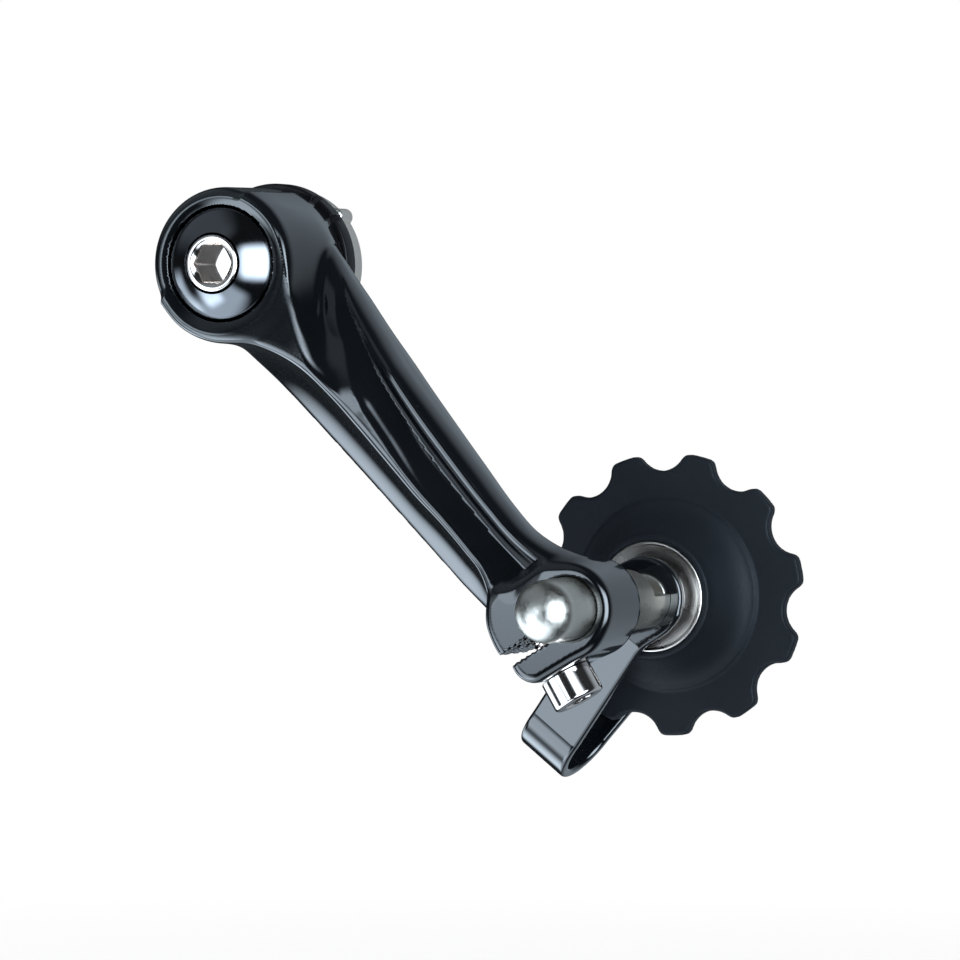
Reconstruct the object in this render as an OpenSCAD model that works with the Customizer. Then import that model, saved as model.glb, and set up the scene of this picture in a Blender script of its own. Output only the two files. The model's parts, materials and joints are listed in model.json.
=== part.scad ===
// Single-speed chain tensioner: a sprung arm on a hanger bolt, with a toothed
// pulley on a shaft that slides in the arm's pinch clamp.
// +X is forward, +Z up and +Y inboard. The origin is on the arm's pivot axis,
// where the stop washer meets the frame's hanger.

/* [Pivot] */
// Radius of the hanger thread
thread_r = 5; // [4.5:0.1:5.2]
// Length of thread behind the stop washer
thread_len = 8.5; // [6:0.5:12]
// Radius of the journal that the arm turns on
journal_r = 6; // [5.8:0.1:6.4]
// Radius of the bolt's round head
collar_r = 4.6; // [4.3:0.1:4.8]
// Hex key size in the bolt's head, across flats
hex_af = 6; // [5:0.5:6]
// Thickness of the stop washer
washer_t = 4.5; // [3.5:0.5:6]
// Radius of the stop washer
washer_r = 12.8; // [12.4:0.1:13.2]
// Thickness of the spring ring behind the boss
ring_t = 3.2; // [3:0.1:4.5]
// Radius of the spring ring
ring_r = 13.6; // [13:0.1:14]
// Wire radius of the torsion spring
wire_r = 0.75; // [0.6:0.05:0.8]

/* [Arm] */
// Distance between the pivot and the pulley shaft
arm_len = 81; // [76:1:92]
// Angle of the arm below the horizontal
arm_drop = 42.5; // [20:0.5:70]
// Length of the boss
boss_len = 20; // [19.5:0.5:24]
// Radius of the boss at its front
boss_front_r = 12.4; // [12.2:0.1:12.6]
// Radius of the boss at its rear
boss_rear_r = 12.8; // [12.6:0.1:13.4]
// Length of the clamp along the shaft
clamp_len = 13; // [11:0.5:15]
// Radius of the clamp's round end
clamp_r = 7.7; // [7.4:0.1:8.6]
// Width of the clamp's slot
slot_w = 2.3; // [2:0.1:3]
// Depth of the flute in the arm's front
flute_depth = 3.4; // [2:0.1:4.5]

/* [Pulley shaft] */
// Radius of the shaft
shaft_r = 5; // [4.5:0.1:5.2]
// How far the shaft stands out in front of the clamp
shaft_front = 12.3; // [10:0.1:14]
// Height of the shaft's domed end
dome_h = 4; // [3:0.1:4.5]
// Height of the step's flat above the shaft's axis
flat_h = 0.8; // [0.4:0.1:1.5]
// Length of the half-cut step beside the guard
step_len = 7; // [5:0.5:8]

/* [Pulley] */
// Number of teeth
teeth = 11; // [10:1:13]
// Chain pitch
pitch = 12.7; // [12.7]
// Radius of the notches between the teeth
notch_r = 4.5; // [4.2:0.1:4.8]
// Depth of the notches
tooth_h = 3; // [2.6:0.1:3.4]
// Thickness of the teeth
tooth_t = 2.4; // [2:0.1:2.6]
// Distance from the hanger face to the middle of the teeth
chain_line = 20.2; // [18:0.1:26]
// Half the width of the pulley's hub over its dust caps
hub_half = 8.8; // [8:0.1:9.4]
// Outer radius of the dust caps
dust_r = 9.15; // [9:0.05:9.6]

/* [Bearings] */
// Bore radius of the ball bearings
bearing_in_r = 4; // [4]
// Outer radius of the ball bearings
bearing_out_r = 8; // [8]
// Width of the ball bearings
bearing_w = 5; // [4:0.5:5]
// Number of balls in each bearing
balls = 9; // [7:1:9]

/* [Chain guard] */
// Width of the guard's strip
strip_w = 9.8; // [8:0.2:11]
// Thickness of the guard's strip
strip_t = 1.8; // [1.4:0.1:2.2]
// Distance from the shaft's axis to the guard's outer end
guard_reach = 36.2; // [34:0.2:40]
// Outer radius of the guard's bend
guard_bend_r = 7.5; // [7:0.1:8]
// Direction of the guard round the shaft
guard_dir = -128; // [-160:1:-100]

/* [Fits] */
// Running clearance of a pin or shaft in its bore
running = 0.04; // [0.02:0.01:0.08]
// Gap between parts that pass each other
gap = 0.3; // [0.25:0.05:0.5]

/* [Hidden] */
$fn = 64;

// Stations along the pivot, from the hanger face towards the viewer
ring_front = -washer_t - ring_t;
boss_front = ring_front - boss_len;
cap_depth = 4.7;
cap_seat = boss_front + cap_depth;
flange_t = 2;
bush_flange_t = 1;
bush_front = cap_seat + flange_t;
bush_wall = 1.5;
bush_r = journal_r + running + bush_wall;
bush_len = 6.5;
recess_r = 10;
recess_front = bush_front + bush_len;
flange_r = 8;
boss_round = 1.7;
pocket_r = flange_r + 0.9;
cap_r = 9.5;
cap_edge_r = 8.5;
cap_wall = 1.2;
cap_bevel = 1.1;
cap_edge_y = boss_front + 0.2;
dome_steps = 12;
collar_out = 2.7;
collar_front = boss_front - collar_out;
socket_depth = 5;
chamfer = 0.4;

// Clip in its groove, and the relief of the thread's shoulder
clip_t = 0.7;
clip_groove = 0.6;
clip_wall = 1.2;
clip_open = 2.8;
clip_y = -washer_t - clip_t - clip_groove;
pilot_r = thread_r - 0.4;
tip_chamfer = 0.8;

// Notches in the ring's rim and the lug on the washer's rim
ring_notches = [35, 55];
notch_size = [1.2, 2.2, 0.9];
lug_angle = 40;
lug_r = 1.4;
lug_out = 1.2;

// Stop pin and the groove that it runs in
stop_pin_r = 0.9;
stop_pin_hold = 3;
stop_track_r = 11.4;
stop_angle = 150;
swing = 75;
stop_groove_depth = 1.6;

// Torsion spring
spring_r = 9;
spring_steps = 16;
wire_sides = 8;
spring_leg_angle = -60;
ring_recess_depth = 1.4;
spring_front = recess_front + wire_r + gap / 2;
spring_back = ring_front + ring_recess_depth - wire_r - gap / 2;
sleeve_wall = 1.1;

// Clamp and shaft stations, along Y
clamp_setback = 3;
clamp_front = boss_front + clamp_setback;
clamp_back = clamp_front + clamp_len;
clamp_mid = (clamp_front + clamp_back) / 2;
shaft_x = arm_len * cos(arm_drop);
shaft_z = -arm_len * sin(arm_drop);
slot_off = 2;
slot_angle = 210.5;
upper_len = 13.8;
lower_len = 13.2;
lower_jaw = 7.8;
upper_jaw = 8.2;
lower_round = 3.8;
upper_round = 5;
clamp_bolt_r = 2.5;
clamp_bolt_at = shaft_r + clamp_bolt_r + 0.4;
clamp_head_r = 4.25;
clamp_head_h = 5;
clamp_hex_af = 4;
clamp_hex_depth = 2.6;
clamp_thread = 6.5;

// Pulley, bearing and guard stations, along Y from the middle of the teeth
eye_clear = 1.6;
eye_gap = hub_half + eye_clear;
eye_front = chain_line - eye_gap - strip_t;
eye_back = chain_line + eye_gap + strip_t;
shaft_tip = clamp_front - shaft_front;
step_y = eye_front - step_len;
pitch_r = pitch / (2 * sin(180 / teeth));
tip_out = 1.05;
tip_r = pitch_r + tip_out;
pulley_turn = 142;
web_r = 16;
hub_r = 10.2;
spigot_r = bearing_in_r - running / 2;
bearing_gap = 3.2;
race_t = 1.1;
ball_r = 1;
ball_track_r = (bearing_in_r + bearing_out_r) / 2;
ball_gap = 0.03;
seal_t = 0.6;
seal_inset = 0.2;
rib_h = 1;
screw_r = 2.5;
screw_hole = 12;
screw_tip = 2;
screw_head_r = 4.7;
screw_head_h = 2.6;
screw_hex_af = 3;
bolt_washer_r = 5;
bolt_washer_t = 1;
spacer_r = 5.4;
cap_hole_r = 5.8;
dust_t = 0.6;
dust_rim = 0.9;
dust_dish = 0.25;
web_steps = 8;

// Guard profile, in the plane that holds the shaft's axis
bend_in_r = guard_bend_r - strip_t;
bend_r = guard_reach - guard_bend_r;
eye_r = strip_w / 2 + 1.6;

// Places a shape that is drawn along +Z so that +Z becomes +Y, at depth y
module along(y) translate([0, y, 0]) rotate([-90, 0, 0]) children();

// Extrudes a flat outline, drawn as seen from the front, from depth y inboard
module plate(y, depth) along(y) linear_extrude(depth) mirror([0, 1]) children();

// Moves a shape to the shaft's axis
module at_shaft() translate([shaft_x, 0, shaft_z]) children();

// Turns a shape about the Y axis: positive is anticlockwise from the front
module turn(a) rotate([0, -a, 0]) children();

module ring(r_out, r_in, y0, y1) along(y0) difference() {
    cylinder(r = r_out, h = y1 - y0);
    translate([0, 0, -1]) cylinder(r = r_in, h = y1 - y0 + 2);
}

// A body of revolution about Y: points are [radius, y]
module revolved(points) rotate([-90, 0, 0]) rotate_extrude() polygon(points);

module hex_socket(af, y, depth) along(y - 1) cylinder(d = af / cos(30), h = depth + 1, $fn = 6);

// Arm outline: each row is [distance along the arm, left edge of the front, left edge of the rear,
// right edge, ridge that bounds the raised web beside the boss], from the line between the axes
arm_rows = [
    [-2, -11.7, -12.3, 12.2, 7.5], [4, -10.8, -12.7, 12.1, 7.5], [9, -7.9, -12.8, 11.8, 6.9],
    [14, -5.3, -12.4, 10.9, 3.3], [20, -3.3, -12.4, 9.9, -0.3], [27, -2.8, -12.4, 8.4, -0.8],
    [35, -3.4, -12.5, 6.9, -1.5], [44, -4.2, -12.7, 5.5, -2.3], [53, -4.8, -12.9, 4.2, -3.0],
    [61, -5.3, -13.2, 3.1, -3.4], [67, -6.4, -13.4, 2.8, -4.3], [71, -9.0, -13.4, 3.6, -6.5],
    [75, -12.0, -13.3, 5.2, -9.5], [78, -12.7, -13.1, 6.0, -10.5]];
arm_rows_len = 81;

// Corner roundings of the arm's section and its numbers of points
front_round = 1.2;
right_round = 4;
corner_steps = 4;
flank_steps = 6;
flank_sag = 1.4;
flank_edge = 1.6;
flank_chamfer = 0.8;
web_slope = 0.62;

function mix(a, b, k) = a + (b - a) * k;
function share(v, a, b) = min(1, max(0, (v - a) / (b - a)));
function arc_points(cx, cy, r, a0, a1, n) =
    [for (i = [0 : n]) [cx + r * cos(mix(a0, a1, i / n)), cy + r * sin(mix(a0, a1, i / n))]];

// Depth of the web and of the rear at a distance along the arm, a little inside the boss and the clamp
beam_inset = 0.4;
beam_front = clamp_front + beam_inset;
function web_front(s) = mix(boss_front, clamp_front, share(s, 10, 40)) + beam_inset;
function beam_back(s) = mix(ring_front, clamp_back, share(s, 0, 62)) - beam_inset;

// One section of the arm: [across, depth], round from the front left corner
function arm_section(row) =
    let (f = web_front(row[0]), b = beam_back(row[0]), l = row[1], r = row[3], w = row[2], ridge = row[4])
    let (rr = min(right_round, (r - l) / 2.4), fr = front_round)
    let (foot = min(r - rr - 0.3, ridge + 0.5 + (beam_front - f) / web_slope))
    concat(
        arc_points(l + fr, f + fr, fr, 180, 270, corner_steps),
        [[ridge, f], [foot, beam_front]],
        arc_points(r - rr, beam_front + rr, rr, 270, 360, corner_steps),
        arc_points(r - rr, b - rr, rr, 0, 90, corner_steps),
        [[w + flank_chamfer, b], [w, b - flank_chamfer], [w, b - flank_edge]],
        [for (i = [1 : flank_steps]) let (k = i / (flank_steps + 1))
            [mix(w, l, k) + flank_sag * sin(180 * k) * share(l - w, 0, 6),
             mix(b - flank_edge, f + fr, k) + flank_sag * sin(180 * k)]]);

module beam() {
    sections = [for (row = arm_rows) let (s = row[0] * arm_len / arm_rows_len)
        [for (p = arm_section(row)) [s, p[1], p[0]]]];
    n = len(sections[0]);
    m = len(sections);
    points = [for (s = sections) each s];
    sides = [for (j = [0 : m - 2]) for (i = [0 : n - 1])
        let (a = j * n + i, b = j * n + (i + 1) % n) each [[a, b, b + n], [a, b + n, a + n]]];
    first = [for (i = [n - 1 : -1 : 0]) i];
    last = [for (i = [0 : n - 1]) (m - 1) * n + i];
    polyhedron(points, concat(sides, [first, last]), convexity = 6);
}

// The flute: a trough with sloping walls, through [distance along, across, floor width, depth] stations
flute_path = [[15.5, 11.2, 1, -1.6], [25, 4.8, 2.2, 0], [arm_len - 12.8, -0.2, 2.4, 0]];
flute_wall = 2.4;
module flute_end(at) translate([at[0], 0, at[1]]) along(boss_front)
    cylinder(r1 = at[2] + flute_wall, r2 = at[2], h = clamp_setback + flute_depth + at[3], $fn = 32);
module flute() for (i = [0, 1]) hull() {
    flute_end(flute_path[i]);
    flute_end(flute_path[i + 1]);
}

// The clamp's jaws, with the slot along +X and the bolt's head towards +Z
module jaws() plate(clamp_front, clamp_len) {
    circle(r = clamp_r);
    translate([0, -upper_jaw]) square([upper_len - upper_round, upper_jaw]);
    translate([upper_len - upper_round, upper_round - upper_jaw]) circle(r = upper_round);
    translate([0, upper_round - upper_jaw]) square([upper_len, upper_jaw - upper_round]);
    square([lower_len - lower_round, lower_jaw]);
    translate([lower_len - lower_round, lower_jaw - lower_round]) circle(r = lower_round);
    square([lower_len, lower_jaw - lower_round]);
}

module arm() color("#1b1c1f") difference() {
    union() {
        revolved(concat([[0, ring_front], [boss_rear_r - chamfer, ring_front],
            [boss_rear_r, ring_front - chamfer]],
            arc_points(boss_front_r - boss_round, boss_front + boss_round, boss_round, 0, -90, corner_steps),
            [[0, boss_front]]));
        rotate([0, arm_drop, 0]) beam();
        at_shaft() turn(slot_angle) jaws();
    }
    revolved([[0, cap_seat], [cap_r + running, cap_seat], [cap_r + running, boss_front + cap_bevel],
        [cap_r + cap_bevel, boss_front], [cap_r + cap_bevel, boss_front - 1], [0, boss_front - 1]]);
    revolved([[0, cap_seat - 1], [pocket_r, cap_seat - 1], [pocket_r, bush_front + bush_flange_t],
        [bush_r, bush_front + bush_flange_t], [bush_r, recess_front + 0.01], [0, recess_front + 0.01]]);
    along(recess_front) cylinder(r = recess_r, h = boss_len);
    turn(stop_angle) translate([stop_track_r, 0, 0]) along(ring_front - stop_pin_hold)
        cylinder(r = stop_pin_r, h = stop_pin_hold + 1);
    rotate([0, arm_drop, 0]) flute();
    at_shaft() along(clamp_front - 1) cylinder(r = shaft_r + running, h = clamp_len + 2);
    at_shaft() turn(slot_angle) {
        translate([0, clamp_front - 1, slot_off - slot_w / 2]) cube([upper_len + 1, clamp_len + 2, slot_w]);
        translate([clamp_bolt_at, clamp_mid, 0]) cylinder(r = clamp_bolt_r + gap, h = lower_jaw + 1);
        translate([clamp_bolt_at, clamp_mid, -clamp_thread]) cylinder(r = clamp_bolt_r + running, h = 10);
    }
}

module stop_pin() color("silver") turn(stop_angle) translate([stop_track_r, 0, 0])
    along(ring_front - stop_pin_hold) cylinder(r = stop_pin_r, h = stop_pin_hold + stop_groove_depth - gap);

// The cap: a bevelled rim and a dome that rises to the bolt's round head
module pivot_cap() color("#2a2b2e") {
    hole_r = collar_r + gap / 2;
    dome_top = collar_front + 0.35;
    inside_r = cap_edge_r - cap_wall;
    revolved([
        [cap_r, boss_front + cap_bevel], [cap_edge_r, cap_edge_y],
        for (i = [1 : dome_steps]) let (k = i / dome_steps)
            [mix(cap_edge_r, hole_r + 0.3, k), mix(cap_edge_y, dome_top, sin(90 * k))],
        [hole_r, collar_front + 0.6], [hole_r, collar_front + 2 * cap_wall],
        [inside_r, boss_front + cap_wall], [inside_r, cap_seat], [cap_r, cap_seat]]);
}

module pivot_bush() color("#b08d4a") revolved([
    [journal_r + running, bush_front], [pocket_r - running, bush_front],
    [pocket_r - running, bush_front + bush_flange_t], [bush_r, bush_front + bush_flange_t],
    [bush_r, recess_front], [journal_r + running, recess_front]]);

module spring_sleeve() color("white")
    ring(journal_r + running + sleeve_wall, journal_r + running, recess_front + gap,
        ring_front + ring_recess_depth);

module hanger_bolt() color("silver") difference() {
    groove_back = clip_y + clip_t + 0.1;
    entry_r = hex_af / 2 + 0.7;
    revolved([[0, collar_front], [collar_r - chamfer, collar_front], [collar_r, collar_front + chamfer],
        [collar_r, cap_seat], [flange_r, cap_seat], [flange_r, bush_front],
        [journal_r, bush_front], [journal_r, clip_y], [journal_r - clip_groove, clip_y],
        [journal_r - clip_groove, groove_back], [journal_r, groove_back], [journal_r, -washer_t],
        [pilot_r, -washer_t], [pilot_r, 0], [thread_r, 0], [thread_r, thread_len - tip_chamfer],
        [thread_r - tip_chamfer, thread_len], [0, thread_len]]);
    hex_socket(hex_af, collar_front, socket_depth);
    revolved([[0, collar_front - 0.1], [entry_r, collar_front - 0.1], [0, collar_front + entry_r / 2]]);
}

module bolt_circlip() color("gray") difference() {
    ring(journal_r + clip_wall, journal_r - clip_groove + running, clip_y + 0.05, clip_y + 0.05 + clip_t);
    along(clip_y - 1) translate([0, -clip_open / 2]) cube([journal_r * 2, clip_open, clip_t + 2]);
}

module spring_ring() color("#151515") difference() {
    ring(ring_r, journal_r + running, ring_front, -washer_t);
    along(ring_front - 1) cylinder(r = recess_r, h = 1 + ring_recess_depth);
    along(clip_y - gap / 2) cylinder(r = journal_r + clip_wall + gap, h = washer_t);
    turn(stop_angle) stop_groove();
    for (a = ring_notches) turn(a) translate([ring_r, ring_front, 0]) cube(notch_size, center = true);
    turn(spring_leg_angle) translate([spring_r, 0, 0]) along(ring_front)
        cylinder(r = wire_r + running, h = ring_t + 1);
}

// The arc that the stop pin runs in as the arm swings up from rest
module stop_groove() {
    half_w = stop_pin_r + gap / 2;
    slack = asin(half_w / stop_track_r);
    rotate([90, 0, 0]) translate([0, 0, -ring_front - stop_groove_depth])
        rotate([0, 0, -slack]) rotate_extrude(angle = swing + 2 * slack)
            translate([stop_track_r - half_w, 0]) square([2 * half_w, stop_groove_depth + 1]);
}

function unit(v) = v / norm(v);

// The spring: a rear leg that stands in the spring ring, then the coil, as one swept wire
module torsion_spring() color("#8a8f96") {
    turns = floor((spring_back - spring_front) / (2 * wire_r + 0.1));
    steps = turns * spring_steps;
    coil = [for (i = [0 : steps]) let (a = spring_leg_angle - 360 * i / spring_steps)
        [spring_r * cos(a), mix(spring_back, spring_front, i / steps), spring_r * sin(a)]];
    path = concat([[coil[0].x, -washer_t - gap, coil[0].z]], coil);
    last = len(path) - 1;
    points = [for (i = [0 : last])
        let (out = unit([path[i].x, 0, path[i].z]),
             side = unit(cross(path[min(i + 1, last)] - path[max(i - 1, 0)], out)))
        for (j = [0 : wire_sides - 1]) let (b = 360 * j / wire_sides)
            path[i] + wire_r * (out * cos(b) + side * sin(b))];
    polyhedron(points, concat(
        [for (i = [0 : last - 1]) for (j = [0 : wire_sides - 1])
            let (p = i * wire_sides + j, q = i * wire_sides + (j + 1) % wire_sides) each
            [[p, q, q + wire_sides], [p, q + wire_sides, p + wire_sides]]],
        [[for (j = [wire_sides - 1 : -1 : 0]) j], [for (j = [0 : wire_sides - 1]) last * wire_sides + j]]));
}

module stop_washer() color("#c9ccd0") {
    ring(washer_r, thread_r + 0.1, -washer_t, 0);
    turn(lug_angle) translate([washer_r + lug_out - lug_r, 0, 0]) along(-washer_t)
        cylinder(r = lug_r, h = washer_t);
}

module clamp_bolt() color("#d7d9dc") at_shaft() turn(slot_angle)
    translate([clamp_bolt_at, clamp_mid, 0]) difference() {
        union() {
            translate([0, 0, lower_jaw]) cylinder(r = clamp_head_r, h = clamp_head_h);
            translate([0, 0, 0.5 - clamp_thread]) cylinder(r = clamp_bolt_r, h = lower_jaw + clamp_thread);
        }
        translate([0, 0, lower_jaw + clamp_head_h - clamp_hex_depth])
            cylinder(d = clamp_hex_af / cos(30), h = clamp_head_h, $fn = 6);
    }

// The shaft: a domed pin with a half-cut step, and the spigot that carries the pulley
module pulley_shaft() color("#b9bbb8") at_shaft() difference() {
    union() {
        difference() {
            revolved(concat(
                [for (i = [0 : dome_steps]) let (a = 90 * i / dome_steps)
                    [shaft_r * sin(a), shaft_tip + dome_h - dome_h * cos(a)]],
                [[shaft_r, eye_front], [0, eye_front]]));
            translate([-shaft_r - 1, step_y, flat_h]) cube([2 * shaft_r + 2, step_len + 1, shaft_r]);
        }
        along(eye_front) cylinder(r = spigot_r, h = eye_back - gap - eye_front);
    }
    along(eye_back - screw_hole) cylinder(r = screw_r + running, h = screw_hole + 1);
}

// One leg of the guard, from its eye to the bend: drawn in [reach, depth]
module leg_profile(side) {
    y_eye = side * (eye_gap + strip_t / 2);
    y_bend = side * (guard_bend_r - strip_t / 2);
    polygon([[-eye_r, y_eye - strip_t / 2], [eye_r, y_eye - strip_t / 2], [bend_r, y_bend - strip_t / 2],
        [bend_r, y_bend + strip_t / 2], [eye_r, y_eye + strip_t / 2], [-eye_r, y_eye + strip_t / 2]]);
}

module chain_guard() color("#1a1a1c") at_shaft() turn(guard_dir) difference() {
    intersection() {
        translate([0, chain_line, -eye_r]) linear_extrude(2 * eye_r) {
            leg_profile(-1);
            leg_profile(1);
            translate([bend_r, 0]) difference() {
                circle(r = guard_bend_r);
                circle(r = bend_in_r);
                translate([-2 * guard_bend_r, -guard_bend_r]) square([2 * guard_bend_r, 2 * guard_bend_r]);
            }
        }
        plate(chain_line - 2 * eye_gap, 4 * eye_gap) {
            circle(r = eye_r);
            translate([0, -strip_w / 2]) square([guard_reach + 1, strip_w]);
        }
    }
    along(eye_front - 1) cylinder(r = spigot_r + running, h = 4 * eye_gap);
}

module pulley_bolt() color("#c9ccd0") at_shaft() difference() {
    tip = eye_back - screw_hole + screw_tip;
    seat = eye_back + bolt_washer_t;
    top = seat + screw_head_h;
    revolved([[0, tip], [screw_r, tip], [screw_r, seat], [screw_head_r, seat],
        [screw_head_r, (seat + top) / 2], [screw_head_r - 1.1, top], [0, top]]);
    along(top - 2) cylinder(d = screw_hex_af / cos(30), h = 3, $fn = 6);
}

module bolt_washer() color("#c9ccd0") at_shaft()
    ring(bolt_washer_r, screw_r + 0.1, eye_back, eye_back + bolt_washer_t);

// A bearing's middle, for side -1 (front) or 1 (rear)
function bearing_y(side) = chain_line + side * (bearing_gap + bearing_w / 2);

module bearing_spacer() color("silver") at_shaft()
    ring(spacer_r, bearing_in_r, chain_line - bearing_gap, chain_line + bearing_gap);

module side_spacer(side) color("silver") at_shaft() {
    outer = side * eye_gap;
    inner = side * (bearing_gap + bearing_w);
    ring(spacer_r, bearing_in_r, chain_line + min(outer, inner), chain_line + max(outer, inner));
}

module inner_race(side) color("#b8bcc2") at_shaft() translate([0, bearing_y(side), 0])
    rotate([-90, 0, 0]) rotate_extrude() difference() {
        translate([bearing_in_r, -bearing_w / 2]) square([race_t, bearing_w]);
        translate([ball_track_r, 0]) circle(r = ball_r + ball_gap);
    }

module outer_race(side) color("#b8bcc2") at_shaft() translate([0, bearing_y(side), 0])
    rotate([-90, 0, 0]) rotate_extrude() difference() {
        translate([bearing_out_r - race_t, -bearing_w / 2]) square([race_t, bearing_w]);
        translate([ball_track_r, 0]) circle(r = ball_r + ball_gap);
    }

module ball_set(side) color("silver") at_shaft() translate([0, bearing_y(side), 0])
    for (i = [0 : balls - 1]) turn(360 * i / balls) translate([ball_track_r, 0, 0]) sphere(r = ball_r);

module seal(side) color("#202020") at_shaft() {
    y = bearing_y(side) + side * (bearing_w / 2 - seal_inset - seal_t / 2);
    ring(bearing_out_r - race_t, bearing_in_r + race_t + 0.1, y - seal_t / 2, y + seal_t / 2);
}

// The toothed rim: a round notch between each two teeth
module tooth_outline() difference() {
    circle(r = tip_r, $fn = 128);
    for (i = [0 : teeth - 1]) rotate((i + 0.5) * 360 / teeth) translate([tip_r - tooth_h + notch_r, 0])
        circle(r = notch_r);
}

// The hub's face at a side and the cone from it to the web, as [radius, y] points outwards
function hub_cone(side) = let (face = chain_line + side * hub_half, web = chain_line + side * tooth_t / 2)
    [[dust_r, face], [dust_r + 0.7, face], [hub_r, face - side * 0.4],
        for (i = [1 : web_steps]) let (k = i / web_steps)
            [mix(hub_r, web_r, k), mix(face - side * 0.6, web + side * 0.5, sin(90 * k))]];

function reversed(points) = [for (i = [len(points) - 1 : -1 : 0]) points[i]];

module pulley() color("#1d1d1f") at_shaft() difference() {
    union() {
        turn(pulley_turn) plate(chain_line - tooth_t / 2, tooth_t) tooth_outline();
        revolved(concat([[0, chain_line - hub_half + dust_t], [dust_r, chain_line - hub_half + dust_t]],
            hub_cone(-1), [[web_r, chain_line]], reversed(hub_cone(1)),
            [[dust_r, chain_line + hub_half - dust_t], [0, chain_line + hub_half - dust_t]]));
    }
    revolved([[0, chain_line - hub_half - 1], [bearing_out_r, chain_line - hub_half - 1],
        [bearing_out_r, chain_line - bearing_gap], [bearing_out_r - rib_h, chain_line - bearing_gap],
        [bearing_out_r - rib_h, chain_line + bearing_gap], [bearing_out_r, chain_line + bearing_gap],
        [bearing_out_r, chain_line + hub_half + 1], [0, chain_line + hub_half + 1]]);
}

// A pressed dust cap: a rim round a dished face, with a curled edge at its hole
module dust_cap(side) color("#d0d3d6") at_shaft() translate([0, chain_line, 0])
    mirror([0, side > 0 ? 0 : 1, 0]) revolved([
        [dust_r - running, hub_half - dust_t], [dust_r - running, hub_half],
        [dust_r - dust_rim, hub_half + 0.15], [dust_r - dust_rim - dust_t, hub_half - dust_dish],
        [cap_hole_r + 0.3, hub_half - 0.1], [cap_hole_r, hub_half + 0.1],
        [cap_hole_r, hub_half - dust_t + 0.05], [dust_r - dust_rim - dust_t, hub_half - dust_t]]);

arm();
stop_pin();
pivot_cap();
pivot_bush();
spring_sleeve();
clamp_bolt();
hanger_bolt();
bolt_circlip();
spring_ring();
torsion_spring();
stop_washer();
pulley_shaft();
chain_guard();
pulley_bolt();
bolt_washer();
bearing_spacer();
side_spacer(-1);  // front_spacer
side_spacer(1);  // rear_spacer
inner_race(-1);  // front_inner_race
inner_race(1);  // rear_inner_race
outer_race(-1);  // front_outer_race
outer_race(1);  // rear_outer_race
ball_set(-1);  // front_balls
ball_set(1);  // rear_balls
seal(-1);  // front_seal
seal(1);  // rear_seal
pulley();
dust_cap(-1);  // front_dust_cap
dust_cap(1);  // rear_dust_cap
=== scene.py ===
"""Looks of the single-speed chain tensioner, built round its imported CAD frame.

The shapes are worked out in millimetres in the frame's axes, and every mesh is written in metres.
"""
import json
import math

import bpy
import numpy as np
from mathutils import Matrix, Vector


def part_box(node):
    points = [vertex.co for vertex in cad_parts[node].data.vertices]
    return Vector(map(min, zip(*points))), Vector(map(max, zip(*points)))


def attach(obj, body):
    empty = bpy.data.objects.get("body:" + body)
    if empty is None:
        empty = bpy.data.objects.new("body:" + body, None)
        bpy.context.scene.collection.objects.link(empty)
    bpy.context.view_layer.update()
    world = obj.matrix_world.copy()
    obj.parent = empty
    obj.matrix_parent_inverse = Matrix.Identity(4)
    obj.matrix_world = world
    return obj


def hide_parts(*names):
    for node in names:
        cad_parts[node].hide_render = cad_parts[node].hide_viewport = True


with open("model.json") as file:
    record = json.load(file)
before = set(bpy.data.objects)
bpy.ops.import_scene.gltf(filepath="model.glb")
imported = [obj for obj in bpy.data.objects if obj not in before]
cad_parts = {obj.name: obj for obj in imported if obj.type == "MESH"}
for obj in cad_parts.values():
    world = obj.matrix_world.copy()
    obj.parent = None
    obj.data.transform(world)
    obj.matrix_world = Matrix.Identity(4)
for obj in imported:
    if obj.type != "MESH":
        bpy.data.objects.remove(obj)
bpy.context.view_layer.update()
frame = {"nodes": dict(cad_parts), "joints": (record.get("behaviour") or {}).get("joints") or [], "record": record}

MM = 0.001
X, Y, Z = 0, 1, 2


def low(node, axis):
    """Lowest place of a CAD node along an axis, in millimetres."""
    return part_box(node)[0][axis] / MM


def high(node, axis):
    """Highest place of a CAD node along an axis, in millimetres."""
    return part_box(node)[1][axis] / MM


# Places taken from the frame
JOINTS = {joint["name"]: joint for joint in frame["joints"]}
WHEEL_X, CHAIN_LINE, WHEEL_Z = (place / MM for place in JOINTS["pulley_spin"]["pos_m"])
ARM_DROP = math.atan2(-WHEEL_Z, WHEEL_X)
BOSS_FRONT = low("arm", Y)
BOSS_BACK = high("arm", Y)
CAP_SEAT = high("pivot_cap", Y)
COLLAR_FRONT = low("hanger_bolt", Y)
BOLT_END = high("hanger_bolt", Y)
WASHER_FRONT = low("stop_washer", Y)
SHAFT_TIP = low("pulley_shaft", Y)
SHAFT_END = high("pulley_shaft", Y)
HUB_HALF = (high("pulley", Y) - low("pulley", Y)) / 2
EYE_FRONT = low("chain_guard", Y)
EYE_BACK = high("chain_guard", Y)

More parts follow.
